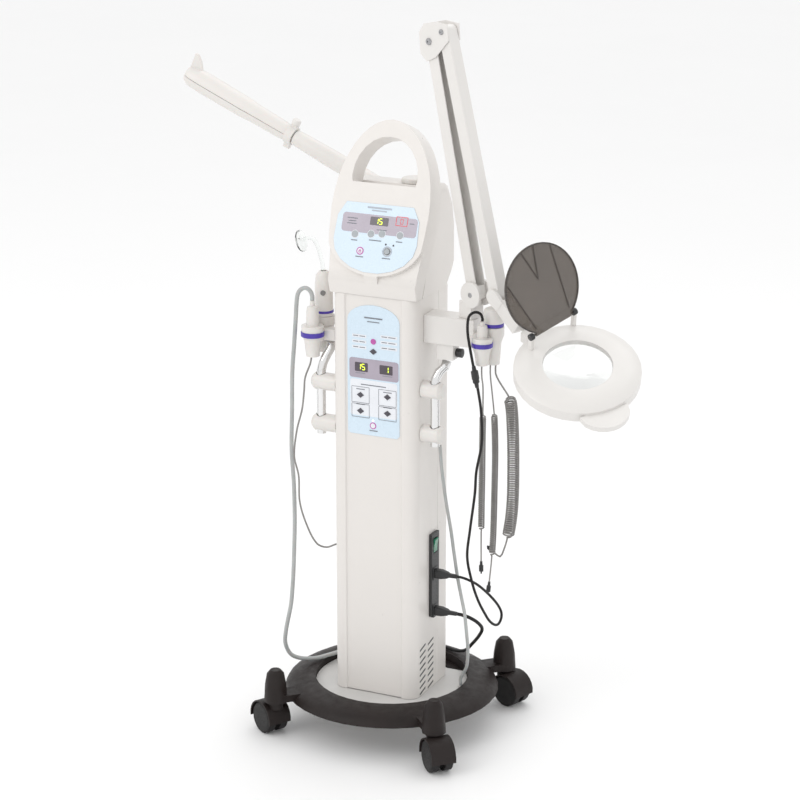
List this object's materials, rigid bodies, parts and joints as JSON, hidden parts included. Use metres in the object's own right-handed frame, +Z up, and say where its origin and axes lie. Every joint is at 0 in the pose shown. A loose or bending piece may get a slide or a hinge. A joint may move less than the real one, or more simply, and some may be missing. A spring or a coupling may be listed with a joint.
{
  "type": "facial steamer",
  "caption": "Facial steamer tower on a castor ring: column with control panels, looped console head, tilting steam arm, jointed magnifier lamp, side holders with hand tools.",
  "frame": {"origin": "on the floor under the middle of the bounding box of the tower without its cords", "axes": "+Z up; the console and its panels face -Y; +X is the side of the magnifier lamp"},
  "size_m": [1.0132, 0.5634, 1.334],
  "materials": {
    "white_plastic": "satin gloss",
    "brown_black_plastic": "satin",
    "panel_film": "satin film",
    "painted_steel": "satin",
    "chrome": "polished",
    "black_plastic": "satin",
    "black_lead": "satin",
    "grey_lead": "satin",
    "grey_hose": "satin",
    "grey_plastic": "satin",
    "clear_glass": "polished",
    "smoked_acrylic": "polished, see-through",
    "green_plastic": "polished, see-through",
    "lamp_tube": "frosted"
  },
  "bodies": {
    "tower": {"air_hose": "grey_hose", "base_plate": "painted_steel", "base_ring": "brown_black_plastic", "boiler_tank": "painted_steel", "column_front_cover": "white_plastic", "column_panel": "panel_film", "column_rear_cover": "white_plastic", "curly_cord_middle": "grey_lead", "curly_cord_right": "grey_lead", "head_front_shell": "white_plastic", "head_panel": "panel_film", "head_rear_shell": "white_plastic", "lamp_bracket": "white_plastic", "lamp_lead": "black_lead", "lamp_plug": "black_plastic", "left_hose": "grey_hose", "left_lead": "grey_lead", "left_rail": "chrome", "left_rail_clamp_lower": "white_plastic", "left_rail_clamp_upper": "white_plastic", "left_tool_holder": "white_plastic", "mains_coil": "black_lead", "mains_lead": "black_lead", "mains_plug": "black_plastic", "power_inlet": "black_plastic", "right_rail": "chrome", "right_rail_clamp_lower": "white_plastic", "right_rail_clamp_upper": "white_plastic", "right_tool_holder": "white_plastic", "wall_plug": "black_plastic"},
    "rocker": {"rocker_switch": "green_plastic"},
    "select_key": {"select_button": "grey_plastic"},
    "fill_cap": {"water_fill_cap": "white_plastic"},
    "steam_turret": {"steam_turret": "white_plastic"},
    "steam_tube": {"steam_tube": "white_plastic", "steam_collar": "white_plastic"},
    "collar_knob": {"collar_knob": "white_plastic"},
    "steam_head": {"steam_arm_top": "white_plastic", "steam_arm_bottom": "white_plastic"},
    "bracket_knob": {"bracket_knob": "black_plastic"},
    "lamp_base": {"lamp_base": "white_plastic"},
    "lower_arm": {"lamp_lower_arm": "white_plastic"},
    "elbow": {"lamp_elbow": "white_plastic"},
    "upper_arm": {"lamp_upper_arm": "white_plastic"},
    "neck": {"lamp_neck": "white_plastic"},
    "lamp_head": {"lamp_housing": "white_plastic", "magnifier_lens": "clear_glass", "ring_tube": "lamp_tube"},
    "lens_cover": {"lens_cover": "smoked_acrylic"},
    "probe": {"ultrasonic_probe": "white_plastic"},
    "hf_handle": {"hf_handle": "white_plastic", "glass_electrode": "clear_glass"},
    "castor_front_left": {"castor_fork_front_left": "brown_black_plastic"},
    "wheel_front_left": {"castor_wheel_front_left": "black_plastic"},
    "castor_front_right": {"castor_fork_front_right": "brown_black_plastic"},
    "wheel_front_right": {"castor_wheel_front_right": "black_plastic"},
    "castor_rear_right": {"castor_fork_rear_right": "brown_black_plastic"},
    "wheel_rear_right": {"castor_wheel_rear_right": "black_plastic"},
    "castor_rear_left": {"castor_fork_rear_left": "brown_black_plastic"},
    "wheel_rear_left": {"castor_wheel_rear_left": "black_plastic"}
  },
  "joints": [
    {"name": "swivel_front_left", "type": "hinge", "parent": "tower", "child": "castor_front_left", "pos_m": [-0.17763, -0.16364, 0.06], "axis": [0, 0, 1], "continuous": true},
    {"name": "roll_front_left", "type": "hinge", "parent": "castor_front_left", "child": "wheel_front_left", "pos_m": [-0.19495, -0.15363, 0.0298], "axis": [0.5, 0.866, 0], "continuous": true},
    {"name": "swivel_front_right", "type": "hinge", "parent": "tower", "child": "castor_front_right", "pos_m": [0.14763, -0.16364, 0.06], "axis": [0, 0, 1], "continuous": true},
    {"name": "roll_front_right", "type": "hinge", "parent": "castor_front_right", "child": "wheel_front_right", "pos_m": [0.16178, -0.17778, 0.0298], "axis": [-0.7071, -0.7071, 0], "continuous": true},
    {"name": "swivel_rear_right", "type": "hinge", "parent": "tower", "child": "castor_rear_right", "pos_m": [0.14763, 0.16164, 0.06], "axis": [0, 0, 1], "continuous": true},
    {"name": "roll_rear_right", "type": "hinge", "parent": "castor_rear_right", "child": "wheel_rear_right", "pos_m": [0.16643, 0.15479, 0.0298], "axis": [-0.342, -0.9397, 0], "continuous": true},
    {"name": "swivel_rear_left", "type": "hinge", "parent": "tower", "child": "castor_rear_left", "pos_m": [-0.17763, 0.16164, 0.06], "axis": [0, 0, 1], "continuous": true},
    {"name": "roll_rear_left", "type": "hinge", "parent": "castor_rear_left", "child": "wheel_rear_left", "pos_m": [-0.18111, 0.18133, 0.0298], "axis": [0.9848, 0.1736, 0], "continuous": true},
    {"name": "rocker_tilt", "type": "hinge", "parent": "tower", "child": "rocker", "pos_m": [0.0758, -0.003, 0.364], "axis": [0, 1, 0], "range_deg": [-14, 0]},
    {"name": "select_press", "type": "slide", "parent": "tower", "child": "select_key", "axis": [0, 0.9397, -0.342], "range_m": [0, 0.0012], "stiffness_N_per_m": 350},
    {"name": "fill_cap_lift", "type": "slide", "parent": "tower", "child": "fill_cap", "axis": [0, 0, 1], "range_m": [0, 0.03]},
    {"name": "steam_swing", "type": "hinge", "parent": "tower", "child": "steam_turret", "pos_m": [-0.07, 0.124, 0.985], "axis": [0, 0, 1], "range_deg": [-150, 20]},
    {"name": "steam_tilt", "type": "hinge", "parent": "steam_turret", "child": "steam_tube", "pos_m": [-0.07, 0.124, 0.985], "axis": [0, 1, 0], "range_deg": [-24, 50]},
    {"name": "steam_roll", "type": "hinge", "parent": "steam_tube", "child": "steam_head", "pos_m": [-0.28901, 0.124, 1.08389], "axis": [-0.9114, 0, 0.4115], "range_deg": [-90, 90]},
    {"name": "collar_knob_turn", "type": "hinge", "parent": "steam_tube", "child": "collar_knob", "pos_m": [-0.28145, 0.124, 1.08047], "axis": [0.4115, 0, 0.9114], "range_deg": [-180, 180]},
    {"name": "bracket_knob_turn", "type": "hinge", "parent": "tower", "child": "bracket_knob", "pos_m": [0.125, -0.023, 0.746], "axis": [1, 0, 0], "range_deg": [-180, 180]},
    {"name": "lamp_swivel", "type": "hinge", "parent": "tower", "child": "lamp_base", "pos_m": [0.155, -0.023, 0.815], "axis": [0, 0, 1], "range_deg": [-90, 90]},
    {"name": "lower_arm_tilt", "type": "hinge", "parent": "lamp_base", "child": "lower_arm", "pos_m": [0.1662, -0.02732, 0.861], "axis": [0.36, 0.933, 0], "range_deg": [0, 60]},
    {"name": "elbow_lower", "type": "hinge", "parent": "lower_arm", "child": "elbow", "pos_m": [0.06497, 0.01174, 1.298], "axis": [-0.36, -0.933, 0], "range_deg": [0, 60]},
    {"name": "elbow_upper", "type": "hinge", "parent": "elbow", "child": "upper_arm", "pos_m": [0.09342, 0.00076, 1.318], "axis": [-0.36, -0.933, 0], "range_deg": [0, 110]},
    {"name": "neck_tilt", "type": "hinge", "parent": "upper_arm", "child": "neck", "pos_m": [0.21657, -0.04676, 0.868], "axis": [0.36, 0.933, 0], "range_deg": [-35, 8]},
    {"name": "head_roll", "type": "hinge", "parent": "neck", "child": "lamp_head", "pos_m": [0.27949, -0.06669, 0.81524], "axis": [0.874, -0.337, -0.35], "range_deg": [-60, 60]},
    {"name": "cover_hinge", "type": "hinge", "parent": "lamp_head", "child": "lens_cover", "pos_m": [0.33531, -0.08677, 0.83967], "axis": [0.4442, 0.8461, 0.2946], "range_deg": [0, 120]},
    {"name": "probe_turn", "type": "hinge", "parent": "tower", "child": "probe", "pos_m": [0.2059, -0.0448, 0.79], "axis": [0, 0, 1], "continuous": true},
    {"name": "handle_lift", "type": "slide", "parent": "tower", "child": "hf_handle", "axis": [0, 0, 1], "range_m": [0, 0.06]}
  ],
  "couplings": [
    {"joint": "elbow_lower", "follows": "lower_arm_tilt", "ratio": 1}
  ]
}
